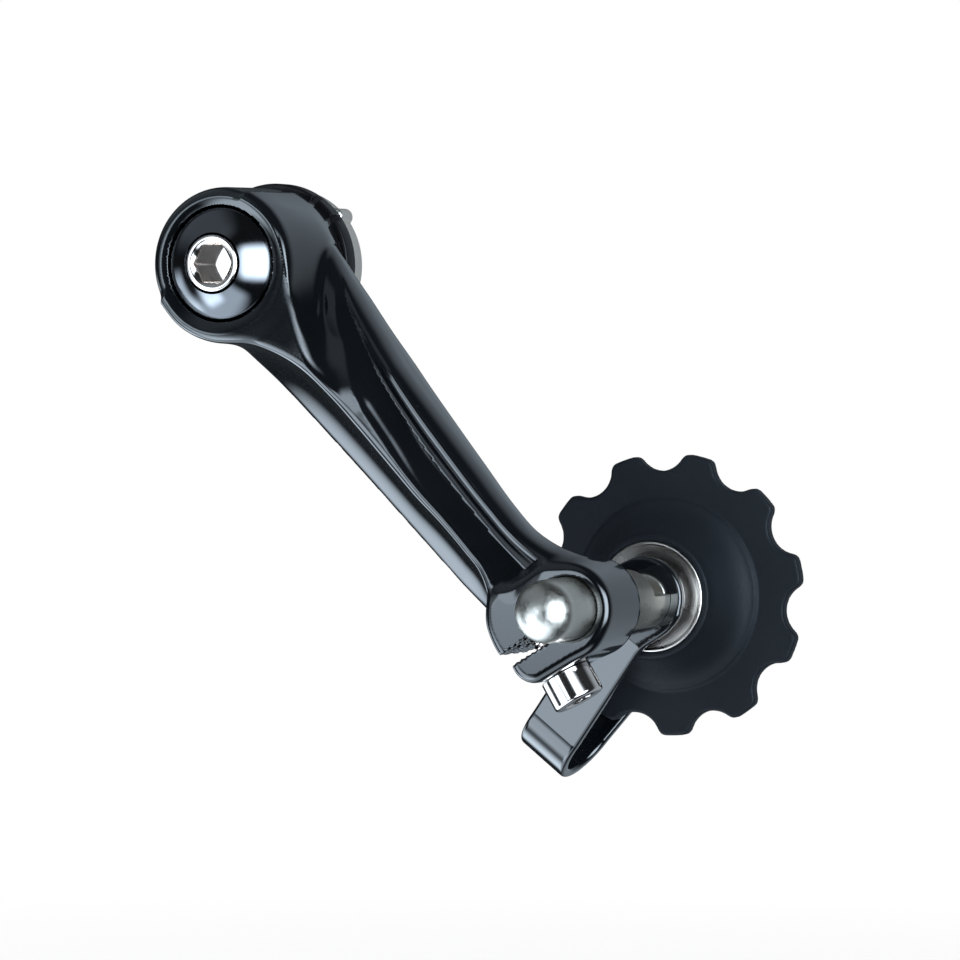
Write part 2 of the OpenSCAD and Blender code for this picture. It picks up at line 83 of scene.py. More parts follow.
# Pivot sizes
BOSS_FRONT_R = 12.4
BOSS_BACK_R = 12.8
COUNTERBORE_R = 9.54
CAP_R = 9.5
CAP_EDGE_R = 8.9
CAP_SPHERE_R = 12.5
CAP_INSIDE_R = 7.3
CAP_WALL = 1.4
RIM_BEVEL_W = 1.06
RIM_BEVEL_H = 1.1
RIM_BEVEL_STEEPNESS = 2.8
FLANGE_POCKET_R = 8.94
FLANGE_POCKET_HALF = 1.5
BUSH_HOLE_R = 7.58
RECESS_R = 10
RECESS_FRONT = BOSS_FRONT + 13.2
COLLAR_R = 4.6
FLANGE_R = 8.0
FLANGE_T = 2.0
JOURNAL_R = 6.0
THREAD_R = 5.0
THREAD_PITCH = 1.0
HEX_R = 3.0
HEX_DEPTH = 4.4
HEX_MOUTH_R = 3.75
WASHER_R = 12.8
RING_R = 13.6
LUG_ANGLE = math.radians(40)
LUG_CENTRE_R = 12.6
LUG_R = 1.4

# Clamp sizes: p runs along the slot away from the shaft, q towards the bolt's head
CLAMP_R = 7.6
CLAMP_DRAFT = 0.3
CLAMP_LEN = 13.0
CLAMP_FRONT = BOSS_FRONT + 3.0
CLAMP_BACK = CLAMP_FRONT + CLAMP_LEN
SLOT_ANGLE = math.radians(210.5)
SLOT_MIDDLE = 2.0
SLOT_W = 2.3
UPPER_LEN = 13.8
UPPER_JAW = 8.2
UPPER_ROUND = 5.0
LOWER_LEN = 13.2
LOWER_JAW = 7.8
LOWER_ROUND = 3.8
CLAMP_BOLT_P = 7.9
CLAMP_BOLT_R = 2.5
CLAMP_HEAD_R = 4.25
CLAMP_HEAD_H = 5.0
CLAMP_HEX_R = 2.0
CLAMP_HEX_MOUTH_R = 2.45
CLAMP_BOLT_TIP = -6.0
CLAMP_PITCH = 0.8

# Shaft, guard and pulley sizes
SHAFT_R = 5.0
SHAFT_BORE_R = 5.04
SPIGOT_R = 3.98
DOME_H = 4.0
FLAT_H = 0.8
SCREW_HOLE_R = 2.54
SCREW_HOLE_DEPTH = 11.7
STEP_LEN = 7.0
STRIP_W = 9.8
STRIP_T = 1.8
GUARD_REACH = 36.2
GUARD_BEND_R = 7.5
GUARD_ANGLE = math.radians(-128)
EYE_R = 6.8
TEETH = 11
PITCH = 12.7
TIP_R = PITCH / (2 * math.sin(math.pi / TEETH)) + 1.05
NOTCH_R = 4.5
TOOTH_H = 3.0
TOOTH_T = 2.4
PULLEY_TURN = math.radians(142)
WEB_R = 16.0
HUB_R = 10.2
DUST_R = 9.15
DUST_HOLE_R = 5.8
BEARING_R = 8.0
SEAT_DEPTH = 1.3
RIB_H = 1
RIB_HALF = 3.2

# Directions of the arm's own axes: s along the arm, t across it, y as in the frame
ALONG = np.array([math.cos(ARM_DROP), 0, -math.sin(ARM_DROP)])
ACROSS = np.array([math.sin(ARM_DROP), 0, math.cos(ARM_DROP)])
DEEP = np.array([0, 1.0, 0])


# Smooth fields

def round_max(a, b, k):
    """The larger of two fields, with the edge between them rounded over a width of k."""
    h = np.maximum(k - np.abs(a - b), 0) / k
    return np.maximum(a, b) + h * h * k * 0.25


def round_min(a, b, k):
    """The smaller of two fields, with the corner between them filled over a width of k."""
    return -round_max(-a, -b, k)


def ease(a, b, v):
    """0 below a, 1 above b and smooth between."""
    k = np.clip((v - a) / (b - a), 0, 1)
    return k * k * (3 - 2 * k)


def curve(*points):
    """A smooth curve through (v, value) points, level beyond its ends."""
    v = np.array([p[0] for p in points], float)
    w = np.array([p[1] for p in points], float)
    slope = np.gradient(w, v)
    slope[[0, -1]] = 0
    fine_v, fine_w = [], []
    for i in range(len(v) - 1):
        k = np.linspace(0, 1, 24, endpoint=False)
        step = v[i + 1] - v[i]
        fine_v.append(v[i] + step * k)
        fine_w.append((2 * k**3 - 3 * k**2 + 1) * w[i] + (k**3 - 2 * k**2 + k) * step * slope[i]
                      + (3 * k**2 - 2 * k**3) * w[i + 1] + (k**3 - k**2) * step * slope[i + 1])
    fine_v = np.append(np.concatenate(fine_v), v[-1])
    fine_w = np.append(np.concatenate(fine_w), w[-1])
    return lambda at: np.interp(at, fine_v, fine_w)


def round_box(a, b, half_a, half_b, r):
    """Distance to a rectangle with rounded corners about the origin."""
    da = np.abs(a) - half_a + r
    db = np.abs(b) - half_b + r
    return np.hypot(np.maximum(da, 0), np.maximum(db, 0)) + np.minimum(np.maximum(da, db), 0) - r


# Meshing a field

def surface_net(field, lowest, highest, cell):
    """Points and four-sided faces where a field changes sign, one point in each cell that it crosses."""
    counts = [int(math.ceil((b - a) / cell)) + 1 for a, b in zip(lowest, highest)]
    axes = [a + cell * np.arange(n) for a, n in zip(lowest, counts)]
    value = field(*np.meshgrid(*axes, indexing="ij"))
    cells = [n - 1 for n in counts]
    total = np.zeros(cells + [3])
    hits = np.zeros(cells)
    crossings = []
    for axis in range(3):
        a = np.moveaxis(value, axis, 0)[:-1]
        b = np.moveaxis(value, axis, 0)[1:]
        crossing = (a < 0) != (b < 0)
        share = np.where(crossing, a / np.where(crossing, a - b, 1), 0)
        others = [o for o in range(3) if o != axis]
        for i in (0, 1):
            for j in (0, 1):
                part = (slice(None), slice(i, i + cells[others[0]]), slice(j, j + cells[others[1]]))
                here = np.moveaxis(crossing[part], 0, axis)
                hits += here
                total[..., axis] += np.moveaxis(share[part], 0, axis)
                total[..., others[0]] += here * i
                total[..., others[1]] += here * j
        crossings.append((np.moveaxis(crossing, 0, axis), np.moveaxis(a < 0, 0, axis)))
    used = np.argwhere(hits > 0)
    number = np.full(cells, -1)
    number[tuple(used.T)] = np.arange(len(used))
    points = np.array(lowest) + cell * (used + total[tuple(used.T)] / hits[tuple(used.T)][:, None])
    faces = []
    for axis in range(3):
        crossing, inside = crossings[axis]
        b, c = (axis + 1) % 3, (axis + 2) % 3
        inner = [slice(None)] * 3
        inner[b] = inner[c] = slice(1, -1)
        at = np.argwhere(crossing[tuple(inner)])
        at[:, b] += 1
        at[:, c] += 1
        ring = []
        for db, dc in ((1, 1), (0, 1), (0, 0), (1, 0)):
            corner = at.copy()
            corner[:, b] -= db
            corner[:, c] -= dc
            ring.append(number[tuple(corner.T)])
        ring = np.array(ring).T
        ahead = inside[tuple(at.T)]
        ring[~ahead] = ring[~ahead][:, ::-1]
        faces.append(ring)
    return points, np.concatenate(faces)


def slope_of(field, points, step=0.01):
    """The field's gradient at points."""
    out = np.empty_like(points)
    for axis in range(3):
        shift = np.zeros(3)
        shift[axis] = step
        out[:, axis] = (field(*(points + shift).T) - field(*(points - shift).T)) / (2 * step)
    return out


def settled(field, points, cell):
    """Points moved onto the field's zero surface, and its normals there."""
    for _ in range(5):
        slope = slope_of(field, points)
        size = np.maximum((slope**2).sum(1), 0.05)
        move = slope * (field(*points.T) / size)[:, None]
        length = np.linalg.norm(move, axis=1)
        points = points - move * np.minimum(1, 0.4 * cell / np.maximum(length, 1e-9))[:, None]
    slope = slope_of(field, points)
    return points, slope / np.maximum(np.linalg.norm(slope, axis=1), 1e-9)[:, None]


def new_mesh(name, points, faces, normals=None):
    """A smooth-shaded mesh object from points in millimetres."""
    mesh = bpy.data.meshes.new(name)
    mesh.from_pydata((np.asarray(points) * MM).tolist(), [], [[int(i) for i in f] for f in faces])
    mesh.validate()
    mesh.polygons.foreach_set("use_smooth", [True] * len(mesh.polygons))
    if normals is not None:
        mesh.normals_split_custom_set_from_vertices(np.asarray(normals).tolist())
    mesh.update()
    piece = bpy.data.objects.new(name, mesh)
    bpy.context.scene.collection.objects.link(piece)
    return piece


def field_mesh(name, field, lowest, highest, cell, axes=None, place=(0, 0, 0)):
    """Meshes a field that is written in its own axes, and puts it in the frame."""
    points, faces = surface_net(field, lowest, highest, cell)
    points, normals = settled(field, points, cell)
    axes = np.eye(3) if axes is None else np.array(axes)
    if np.linalg.det(axes) < 0:
        faces = faces[:, ::-1]
    return new_mesh(name, points @ axes + np.array(place), faces, normals @ axes), points


# Bodies of revolution

def filleted(corners, steps=5):
    """A path through (radius, y, fillet) corners, with each corner rounded by its fillet."""
    path = []
    last = len(corners) - 1
    for i, (r, y, fillet) in enumerate(corners):
        here = np.array([r, y], float)
        if fillet <= 0 or i in (0, last):
            path.append(here)
            continue
        to_a = np.array(corners[i - 1][:2], float) - here
        to_b = np.array(corners[i + 1][:2], float) - here
        len_a, len_b = np.linalg.norm(to_a), np.linalg.norm(to_b)
        to_a, to_b = to_a / len_a, to_b / len_b
        half = math.acos(np.clip(to_a @ to_b, -1, 1)) / 2
        reach = min(fillet / math.tan(half), 0.49 * len_a, 0.49 * len_b)
        fillet = reach * math.tan(half)
        middle = here + (to_a + to_b) / np.linalg.norm(to_a + to_b) * fillet / math.sin(half)
        start, end = here + to_a * reach - middle, here + to_b * reach - middle
        turn = math.atan2(start[0] * end[1] - start[1] * end[0], start @ end)
        for k in range(steps + 1):
            a = turn * k / steps
            c, s = math.cos(a), math.sin(a)
            path.append(middle + np.array([c * start[0] - s * start[1], s * start[0] + c * start[1]]))
    return np.array(path)


def lathe(name, path, place=(0, 0, 0), axis=None, segments=96, shape=None, closed=False):
    """Turns a (radius, height) path about +Y, or about the first of three given axes."""
    angles = np.arange(segments) * 2 * math.pi / segments
    r, a = np.meshgrid(path[:, 0], angles, indexing="ij")
    h = np.broadcast_to(path[:, 1][:, None], r.shape)
    if shape is not None:
        r = shape(r, h, a)
    up, right, front = np.array(axis if axis is not None else ((0, 1, 0), (1, 0, 0), (0, 0, 1)), float)
    points = (h[..., None] * up + (r * np.cos(a))[..., None] * right + (r * np.sin(a))[..., None] * front)
    rows = len(path)
    number = np.arange(rows * segments).reshape(rows, segments)
    pairs = list(zip(range(rows - 1), range(1, rows)))
    if closed:
        pairs.append((rows - 1, 0))
    faces = []
    for i, j in pairs:
        near, far = number[i], number[j]
        faces.append(np.array([near, far, np.roll(far, -1), np.roll(near, -1)]).T)
    faces = [list(f) for f in np.concatenate(faces)]
    if not closed:
        faces += [list(number[0]), list(number[-1][::-1])]
    points = points.reshape(-1, 3) + np.array(place)
    if turned_in(points, faces):
        faces = [f[::-1] for f in faces]
    return new_mesh(name, points, faces)


def turned_in(points, faces):
    """True when the faces of a closed mesh look inwards."""
    volume = 0.0
    for face in faces:
        a = points[face[0]]
        for i in range(1, len(face) - 1):
            volume += a @ np.cross(points[face[i]], points[face[i + 1]])
    return volume < 0


def hexagon(a, half_flats):
    """Radius at an angle of a hexagon with a corner at angle 0."""
    sixth = math.pi / 3
    return half_flats / np.cos(a % sixth - sixth / 2)


def weighted(piece):
    """Flat faces stay flat-shaded beside their rounded edges, and square corners stay sharp."""
    piece.data.set_sharp_from_angle(angle=math.radians(38))
    modifier = piece.modifiers.new("weighted", "WEIGHTED_NORMAL")
    modifier.weight = 100
    modifier.keep_sharp = True
    return piece


# Arm: a boss, a fluted beam with a scooped flank and a slotted clamp

FRONT_LEFT = curve((-4, -11.0), (2, -11.3), (7, -9.6), (11, -6.9), (13.5, -5.4), (16, -4.3), (18.5, -3.5),
                   (21, -3.0), (24.5, -2.75), (28, -2.8), (34.5, -3.3), (44, -4.2), (50, -4.7),
                   (56, -4.8), (62, -5.3), (66, -5.9), (68.5, -7.1), (70.8, -8.8), (73.4, -11.1),
                   (75.3, -12.3), (78, -12.9))
BACK_LEFT = curve((-4, -12.0), (4, -12.8), (9, -13.0), (14, -12.8), (27, -12.8), (35, -12.9), (44, -13.1),
                  (53, -13.3), (61, -13.5), (78, -13.5))
RIGHT = curve((-4, 12.0), (4, 12.1), (9, 11.8), (14, 10.9), (20, 9.9), (27, 8.4), (35, 6.9), (44, 5.5),
              (53, 4.2), (61, 3.1), (67, 2.8), (71, 3.6), (75, 5.2), (78, 6.0))
RIDGE = curve((-6, 14), (2, 12.2), (5.6, 10.1), (7.6, 8.7), (9.5, 7.2), (11.9, 5.0), (13.8, 3.5), (17.2, 1.1),
              (21, -0.8), (26, -2.6), (32, -4.5), (78, -5.0))
WALL_SLOPE = curve((-4, 1.9), (8, 1.9), (14, 1.7), (19, 1.35), (24, 0.7), (34, 0.62))
WEB_DEPTH = curve((-4, 8.4), (10, 7.9), (14, 6.8), (19, 5.4), (24, 4.5), (30, 3.9))
FLUTE_BRIM = curve((8, 7.9), (14, 6.8), (19, 5.4), (24, 4.5), (30, 3.4), (40, 2.6), (66, 3.0))
FRONT_DEPTH = curve((-6, 0.6), (12, 0.8), (24, 1.7), (36, 2.5), (66, 3.0), (80, 3.0))
FLUTE_LEFT = curve((8, 13.6), (12.4, 11.2), (16.2, 8.8), (20.6, 6.3), (26, 4.2), (32, 1.9), (40, -0.4),
                   (47, -2.2), (56.6, -3.3), (64, -4.0), (78, -4.6))
FLUTE_RIGHT = curve((8, 12.2), (14, 10.8), (20, 9.0), (28, 7.0), (37, 5.2), (46, 3.9), (56, 2.4), (66, 1.5),
                    (74, 1.9))
FLUTE_FLOOR = curve((10, 0.4), (14, 1.6), (24, 2.6), (36, 3.3), (66, 3.4), (74, 3.0))


def boss_field(s, t, y):
    """The boss: a slightly tapered drum with a rounded front edge."""
    rho = np.hypot(s, t)
    side = rho - BOSS_FRONT_R - (BOSS_BACK_R - BOSS_FRONT_R) * (y - BOSS_FRONT) / (BOSS_BACK - BOSS_FRONT)
    body = round_max(side, BOSS_FRONT - y, 2.2)
    return round_max(body, y - BOSS_BACK, 0.7)


def beam_field(s, t, y):
    """The beam before its flute: the front falls away right of the ridge, and the left flank is scooped."""
    front = BOSS_FRONT + FRONT_DEPTH(s)
    right_of_ridge = t - RIDGE(s)
    slope = (1 - ease(20, 34, s)) * WALL_SLOPE(s)
    drop = slope * round_max(right_of_ridge, 0 * t, 1.0)
    front = round_min(front + drop, BOSS_FRONT + WEB_DEPTH(s), 1.6)
    front = np.where(s > 40, BOSS_FRONT + FRONT_DEPTH(s), front)
    on_wall = ease(-0.4, 0.6, right_of_ridge) * (1 - ease(0.6, 1, drop / WEB_DEPTH(s)))
    back = BOSS_BACK + (CLAMP_BACK - BOSS_BACK) * np.clip(s / 62, 0, 1)
    left_front, left_back = FRONT_LEFT(s), BACK_LEFT(s)
    k = np.clip((y - front) / (back - 1.3 - front), 0, 1)
    sag = 1.5 * np.sin(math.pi * k) * np.clip((left_front - left_back) / 6, 0, 1)
    flank = (left_front + (left_back - left_front) * k + sag - t) * 0.86
    right = round_max((t - RIGHT(s) - 0.5 * ease(20, 34, s)) * 0.99, y - back, 7.5)
    top = (front - y) / np.hypot(1, slope * on_wall)
    body = round_max(top, right, 6.0)
    body = round_max(body, round_max(flank - 0.25, y - back, 2.8), 1.2)
    return np.maximum(body, np.maximum(-3 - s, s - 79))


def flute_field(s, t, y):
    """What the flute takes out of the beam: sloping walls, a bowl between them and a round end."""
    left, right = FLUTE_LEFT(s), FLUTE_RIGHT(s)
    middle, half = (left + right) / 2, np.maximum((right - left) / 2, 0.2)
    across = (t - middle) / half
    brim = BOSS_FRONT + FLUTE_BRIM(s)
    floor = brim + FLUTE_FLOOR(s)
    wall = (np.abs(t - middle) - half) * 0.8 + (y - brim) * 0.42
    bowl = y - floor + 1.1 * across**2
    end = np.hypot(np.maximum(s - 68.2, 0), 0.75 * (t + 0.8)) - 5.0 + (y - CLAMP_FRONT) * 0.5
    start = 13 - s - (t - 11) * 0.4
    shape = round_max(wall, bowl, 2.2)
    shape = np.where(s > 66, round_max(shape, end, 1.0), shape)
    return round_max(shape, start * 0.7, 2.0)


def clamp_axes(s, t):
    """The clamp's own p and q at a place on the arm."""
    x = s * ALONG[0] + t * ACROSS[0] - WHEEL_X
    z = s * ALONG[2] + t * ACROSS[2] - WHEEL_Z
    c, d = math.cos(SLOT_ANGLE), math.sin(SLOT_ANGLE)
    return x * c + z * d, z * c - x * d


def clamp_field(s, t, y):
    """The clamp before its bore and slot: an eye round the shaft and two unequal jaws."""
    p, q = clamp_axes(s, t)
    draft = CLAMP_DRAFT * (2 * (y - CLAMP_FRONT) / CLAMP_LEN - 1)
    eye = np.hypot(p, q) - CLAMP_R - draft
    upper = round_box(p - UPPER_LEN / 2 + 1.5, q, UPPER_LEN / 2 + 1.5, UPPER_JAW, UPPER_ROUND)
    lower = round_box(p - LOWER_LEN / 2 + 1.5, q, LOWER_LEN / 2 + 1.5, LOWER_JAW, LOWER_ROUND)
    outline = round_min(eye, np.where(q < SLOT_MIDDLE, upper, lower), 1.5)
    body = round_max(outline, CLAMP_FRONT - y, 1.5)
    return round_max(body, y - CLAMP_BACK, 1.5)


def serration(along, depth):
    """Rough teeth on the slot's faces, near the front."""
    teeth = np.abs((along / 1.05 + 0.25 * np.sin(depth * 1.7)) % 1 - 0.5)
    return 0.5 * teeth


def arm_field(s, t, y):
    """The whole arm, with its counterbore, recess, shaft bore, slot and screw hole."""
    p, q = clamp_axes(s, t)
    rho = np.hypot(s, t)
    from_shaft = np.hypot(p, q)
    body = round_min(boss_field(s, t, y), beam_field(s, t, y), 2.4)
    body = round_max(body, -flute_field(s, t, y), 2.0)
    body = round_min(body, clamp_field(s, t, y), 1.2)
    counterbore = np.maximum(rho - COUNTERBORE_R, y - CAP_SEAT)
    bevel = (rho - COUNTERBORE_R - RIM_BEVEL_W + (y - BOSS_FRONT) * RIM_BEVEL_STEEPNESS) * 0.336
    counterbore = np.minimum(counterbore, np.maximum(bevel, y - BOSS_FRONT - RIM_BEVEL_H))
    body = round_max(body, -counterbore, 0.35)
    pocket = np.maximum(rho - FLANGE_POCKET_R, np.abs(y - CAP_SEAT - FLANGE_POCKET_HALF) - FLANGE_POCKET_HALF)
    body = np.maximum(body, -pocket)
    body = np.maximum(body, -(rho - BUSH_HOLE_R))
    body = round_max(body, -np.maximum(rho - RECESS_R, RECESS_FRONT - y), 0.3)
    body = round_max(body, -(from_shaft - SHAFT_BORE_R), 0.5)
    roughness = serration(p, y) * ease(5.2, 6.4, p)
    slot = np.maximum(np.abs(q - SLOT_MIDDLE) - SLOT_W / 2 - roughness + 0.1, -p)
    body = round_max(body, -slot, 0.25)
    hole = np.hypot(p - CLAMP_BOLT_P, y - (CLAMP_FRONT + CLAMP_BACK) / 2)
    hole_r = np.where(q > SLOT_MIDDLE, CLAMP_BOLT_R + 0.3, CLAMP_BOLT_R + 0.04)
    return np.maximum(body, -np.maximum(hole - hole_r, -6.4 - q))


def make_arm():
    """The arm's mesh, with a layer that says where its front is grained."""
    cell = 0.36
    piece, local = field_mesh("arm_shell", arm_field, (-15, -16, BOSS_FRONT - 1), (91, 16, BOSS_BACK + 1),
                              cell, (ALONG, ACROSS, DEEP))
    s, t, y = local.T
    grain = ease(-1.2, 0.2, -(t - RIDGE(s)) - 0.6) * ease(9.6, 11.5, np.hypot(s, t)) * (1 - ease(17, 23, s))
    grain = grain * ease(0.3, 1.6, t - FRONT_LEFT(s)) * (y < BOSS_FRONT + 2.2) * ease(4, 9, s)
    layer = piece.data.attributes.new("grain", "FLOAT", "POINT")
    layer.data.foreach_set("value", grain.astype(np.float32))
    return piece


# Pieces round the pivot

def make_pivot_cap():
    """The domed cap, hollow behind, with a hole for the bolt's collar."""
    edge = BOSS_FRONT + 0.25
    middle = edge + math.sqrt(CAP_SPHERE_R**2 - CAP_EDGE_R**2)
    dome = [(r, middle - math.sqrt(CAP_SPHERE_R**2 - r**2), 0)
            for r in np.linspace(CAP_EDGE_R, COLLAR_R + 0.4, 20)]
    hole_r = COLLAR_R + 0.12
    rows = [(CAP_R, CAP_SEAT, 0), (CAP_R, BOSS_FRONT + 1.3, 0.2), (CAP_EDGE_R + 0.12, edge + 0.15, 0.12)]
    rows += dome
    rows += [(hole_r, dome[-1][1] + 0.4, 0), (hole_r, COLLAR_FRONT + 2.4, 0),
             (CAP_INSIDE_R, BOSS_FRONT + CAP_WALL, 0), (CAP_INSIDE_R, CAP_SEAT, 0)]
    return lathe("pivot_cap_shell", filleted(rows), segments=128, closed=True)


def make_hanger_bolt():
    """The bolt with its hex socket, and its thread as a helix in the last stretch."""
    start = COLLAR_FRONT
    floor = start + HEX_DEPTH
    flange_back = CAP_SEAT + FLANGE_T
    rows = [(0.02, floor, 0), (HEX_R - 0.02, floor, 0)]
    rows += [(HEX_R, start + d, 0) for d in (HEX_DEPTH - 0.03, 3.4, 1.8)]
    rows += [(HEX_R, start + d, 0) for d in np.linspace(1.5, 0.25, 12)]
    rows += [(HEX_MOUTH_R, start + 0.04, 0), (HEX_MOUTH_R + 0.2, start, 0), (COLLAR_R, start, 0.35),
             (COLLAR_R, CAP_SEAT, 0.05), (FLANGE_R, CAP_SEAT, 0.2), (FLANGE_R, flange_back, 0.2),
             (JOURNAL_R, flange_back, 0), (JOURNAL_R, WASHER_FRONT, 0.1), (THREAD_R - 0.4, WASHER_FRONT, 0),
             (THREAD_R - 0.4, -0.02, 0)]
    rows += [(THREAD_R, y, 0) for y in np.arange(0, BOLT_END - 0.5, THREAD_PITCH / 8)]
    rows += [(THREAD_R - 0.3, BOLT_END - 0.35, 0), (THREAD_R - 0.8, BOLT_END, 0), (0.02, BOLT_END, 0)]

    def shape(r, h, a):
        in_socket = (h < floor + 0.1) & (r < HEX_R + 0.01) & (r > 2.5)
        cone = HEX_MOUTH_R - (h - start) * 1.1
        r = np.where(in_socket, np.maximum(hexagon(a, HEX_R), cone), r)
        threaded = (h >= 0) & (r > THREAD_R - 0.01)
        phase = (h / THREAD_PITCH - a / (2 * math.pi)) % 1
        depth = np.clip(1.2 * np.abs(phase - 0.5) * 2 - 0.1, 0, 1) * 0.55
        fade = ease(0, 0.5, h) * (1 - ease(BOLT_END - 1.2, BOLT_END - 0.5, h))
        return np.where(threaded, r - depth * fade, r)

    return lathe("hanger_bolt_turned", filleted(rows), segments=96, shape=shape)


def lug_radius(a, r, centre_r, lug_r, at):
    """Radius of a disc's rim with a round lug on it."""
    off = (a - at + math.pi) % (2 * math.pi) - math.pi
    reach = lug_r**2 - (centre_r * np.sin(off))**2
    lug = centre_r * np.cos(off) + np.sqrt(np.maximum(reach, 0))
    return np.where((reach > 0) & (np.abs(off) < 0.5), np.maximum(r, lug), r)


def make_stop_washer():
    """The washer with the small lug on its rim."""
    path = filleted([(THREAD_R + 0.1, WASHER_FRONT, 0), (WASHER_R, WASHER_FRONT, 0.5), (WASHER_R, 0, 0.5),
                     (THREAD_R + 0.1, 0, 0)])

    def shape(r, h, a):
        lug = lug_radius(a, np.full_like(r, WASHER_R), LUG_CENTRE_R, LUG_R, LUG_ANGLE) - WASHER_R
        return r + np.where(r > WASHER_R - 0.6, lug, 0)

    return lathe("stop_washer_plate", path, segments=256, shape=shape, closed=True)


def make_spring_ring():
    """The ring behind the boss, with two notches in its front edge."""
    front, back = low("spring_ring", Y), high("spring_ring", Y)
    inside_r = JOURNAL_R + 0.04
    path = filleted([(RECESS_R, front + 1.4, 0), (RECESS_R, front, 0.15), (RING_R, front, 0.35),
                     (RING_R, (front + back) / 2, 0), (RING_R, back, 0.35), (JOURNAL_R + 0.3, back, 0),
                     (inside_r, back - 1.6, 0), (inside_r, front + 1.4, 0)])

    def shape(r, h, a):
        notch = np.zeros_like(r)
        for at in (35, 55):
            off = np.abs((a - math.radians(at) + math.pi) % (2 * math.pi) - math.pi) * RING_R
            notch = np.maximum(notch, 1 - ease(0.45, 0.6, off))
        return r - np.where((r > RING_R - 0.4) & (h < front + 1.3), 0.8 * notch, 0)

    return lathe("spring_ring_moulded", path, segments=360, shape=shape, closed=True)


# Clamp bolt, shaft and guard

def make_clamp_bolt():
    """A socket head screw along q: its head below the lower jaw."""
    p_way = np.array([math.cos(SLOT_ANGLE), 0, math.sin(SLOT_ANGLE)])
    q_way = np.array([-math.sin(SLOT_ANGLE), 0, math.cos(SLOT_ANGLE)])
    middle = (CLAMP_FRONT + CLAMP_BACK) / 2
    place = np.array([WHEEL_X, middle, WHEEL_Z]) + p_way * CLAMP_BOLT_P
    top = LOWER_JAW + CLAMP_HEAD_H
    rows = [(0.02, top - 2.9, 0), (1.8, top - 2.6, 0)]
    rows += [(CLAMP_HEX_R, top - d, 0) for d in (2.55, 2.0, 1.4)]
    rows += [(CLAMP_HEX_R, top - d, 0) for d in np.linspace(1.2, 0.15, 9)]
    rows += [(CLAMP_HEX_MOUTH_R, top - 0.05, 0), (2.6, top, 0), (CLAMP_HEAD_R, top, 0.55),
             (CLAMP_HEAD_R, LOWER_JAW, 0.2), (CLAMP_BOLT_R, LOWER_JAW, 0)]
    rows += [(CLAMP_BOLT_R, y, 0) for y in np.arange(LOWER_JAW - 2, -5.4, -0.1)]
    rows += [(CLAMP_BOLT_R - 0.5, CLAMP_BOLT_TIP, 0), (0.02, CLAMP_BOLT_TIP, 0)]

    def shape(r, h, a):
        in_socket = (h > top - 2.7) & (r < CLAMP_HEX_R + 0.01) & (r > 1.7)
        cone = CLAMP_HEX_MOUTH_R - (top - h) * 1.1
        r = np.where(in_socket, np.maximum(hexagon(a, CLAMP_HEX_R), cone), r)
        threaded = (np.abs(r - CLAMP_BOLT_R) < 0.01) & (h < LOWER_JAW - 2)
        phase = (h / CLAMP_PITCH - a / (2 * math.pi)) % 1
        depth = np.clip(1.2 * np.abs(phase - 0.5) * 2 - 0.1, 0, 1) * 0.4
        return np.where(threaded, r - depth, r)

    axis = (q_way, p_way, (0, 1, 0))
    return lathe("clamp_bolt_turned", filleted(rows), place, axis, segments=96, shape=shape)


def shaft_field(x, y, z):
    """The shaft: a domed pin, a half-cut step, a thinner spigot and the rear screw's hole."""
    rho = np.hypot(x, z)
    dome_y = y - (SHAFT_TIP + DOME_H)
    dome = (np.hypot(rho / SHAFT_R, np.minimum(dome_y, 0) / DOME_H) - 1) * SHAFT_R * 0.9
    pin = round_max(np.where(dome_y < 0, dome, rho - SHAFT_R), y - EYE_FRONT, 0.4)
    spigot = round_max(np.maximum(rho - SPIGOT_R, EYE_FRONT - 1 - y), y - SHAFT_END, 0.5)
    step = np.maximum(np.maximum(EYE_FRONT - STEP_LEN - y, FLAT_H - z), y - EYE_FRONT - 0.02)
    hole = np.maximum(rho - SCREW_HOLE_R, SHAFT_END - SCREW_HOLE_DEPTH - y)
    return round_max(round_max(np.minimum(pin, spigot), -step, 0.25), -hole, 0.2)


def make_shaft():
    cell = 0.24
    reach = SHAFT_R + 0.5
    piece, _ = field_mesh("pulley_shaft_turned", shaft_field, (-reach, SHAFT_TIP - 0.5, -reach),
                          (reach, SHAFT_END + 0.5, reach), cell, place=(WHEEL_X, 0, WHEEL_Z))
    return piece


def guard_field(u, w, y):
    """u runs from the shaft's axis to the bend, w across the strip and y from the chain line."""
    bend = GUARD_REACH - GUARD_BEND_R
    middle_r = GUARD_BEND_R - STRIP_T / 2
    eye_y = (EYE_BACK - EYE_FRONT - STRIP_T) / 2
    side = np.abs(y)
    run = np.clip((u - EYE_R) / (bend - EYE_R), 0, 1)
    slant = math.hypot(bend - EYE_R, eye_y - middle_r) / (bend - EYE_R)
    middle = eye_y + (middle_r - eye_y) * run
    leg = np.abs(side - middle) / np.where((u > EYE_R) & (u < bend), slant, 1)
    turn = np.abs(np.hypot(u - bend, y) - middle_r)
    skin = np.where(u < bend, leg, turn) - STRIP_T / 2
    eye = np.hypot(u, w) - EYE_R
    strip = np.maximum(np.abs(w) - STRIP_W / 2, -u)
    body = round_max(skin, round_min(eye, strip, 3.0), 0.7)
    return round_max(body, SPIGOT_R + 0.04 - np.hypot(u, w), 0.3)


def make_guard():
    cell = 0.3
    u_way = (math.cos(GUARD_ANGLE), 0, math.sin(GUARD_ANGLE))
    w_way = (-math.sin(GUARD_ANGLE), 0, math.cos(GUARD_ANGLE))
    half = (EYE_BACK - EYE_FRONT) / 2 + 0.6
    side = EYE_R + 0.4
    piece, _ = field_mesh("chain_guard_bent", guard_field, (-side, -side, -half),
                          (GUARD_REACH + 0.8, side, half), cell, (u_way, w_way, (0, 1, 0)),
                          (WHEEL_X, CHAIN_LINE, WHEEL_Z))
    return piece


